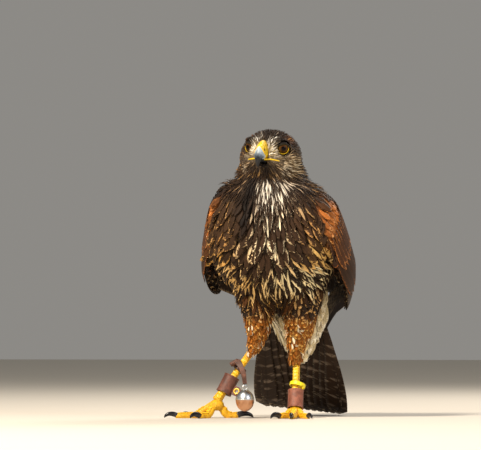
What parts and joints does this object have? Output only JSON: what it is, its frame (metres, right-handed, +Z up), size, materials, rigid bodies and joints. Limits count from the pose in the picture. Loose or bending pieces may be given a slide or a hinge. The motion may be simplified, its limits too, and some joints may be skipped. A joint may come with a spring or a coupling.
{
  "type": "standing harris hawk, still life-size model",
  "caption": "Young Harris hawk standing upright with folded wings, fanned tail laid to the floor, leather anklets, a leg ring and a small bell.",
  "frame": {"origin": "on the floor, under the middle of the whole bird's box", "axes": "+Z up; the bird faces -Y with its head turned 8 degrees to its right; +X is the bird's own left"},
  "size_m": [0.2173, 0.286, 0.3299],
  "materials": {
    "plumage_dark": "soft dark brown plumage with cream and buff fringes",
    "plumage_wing": "rufous-edged wing coverts over dark brown",
    "plumage_flight": "dark brown flight and tail feathers with faint bars",
    "plumage_leg": "rufous leg feathers with white spots",
    "eye": "clear moist dark brown eye",
    "cere": "smooth yellow cere and gape",
    "bill_horn": "polished blue-grey horn, black at the tip",
    "leg_skin": "yellow scaled skin of legs and toes",
    "claw_horn": "polished black horn",
    "leather": "smooth greased red-brown leather",
    "brass": "worn brass eyelets",
    "ring_plastic": "yellow plastic",
    "bell_silver": "polished white metal",
    "bell_copper": "polished copper-coloured metal"
  },
  "bodies": {
    "root": {"head": "plumage_dark", "neck": "plumage_dark", "trunk": "plumage_dark", "wing_left": "plumage_wing", "wing_right": "plumage_wing", "primaries_left": "plumage_flight", "primaries_right": "plumage_flight", "tail": "plumage_flight", "thigh_left": "plumage_leg", "thigh_right": "plumage_leg", "eye_left": "eye", "eye_right": "eye", "cere": "cere", "bill_upper": "bill_horn", "bill_lower": "bill_horn", "shank_left": "leg_skin", "shank_right": "leg_skin", "foot_left": "leg_skin", "foot_right": "leg_skin", "claw_left_inner": "claw_horn", "claw_left_middle": "claw_horn", "claw_left_outer": "claw_horn", "claw_left_hind": "claw_horn", "claw_right_inner": "claw_horn", "claw_right_middle": "claw_horn", "claw_right_outer": "claw_horn", "claw_right_hind": "claw_horn", "anklet_left": "leather", "anklet_right": "leather", "bell_strap_loop": "leather", "bell_strap_button": "leather", "bell_strap": "leather", "eyelet_left": "brass", "eyelet_right": "brass", "leg_ring": "ring_plastic", "bell_crown": "bell_silver", "bell_loop": "bell_silver", "bell_bowl": "bell_copper", "bell_pea": "bell_copper"}
  },
  "joints": []
}
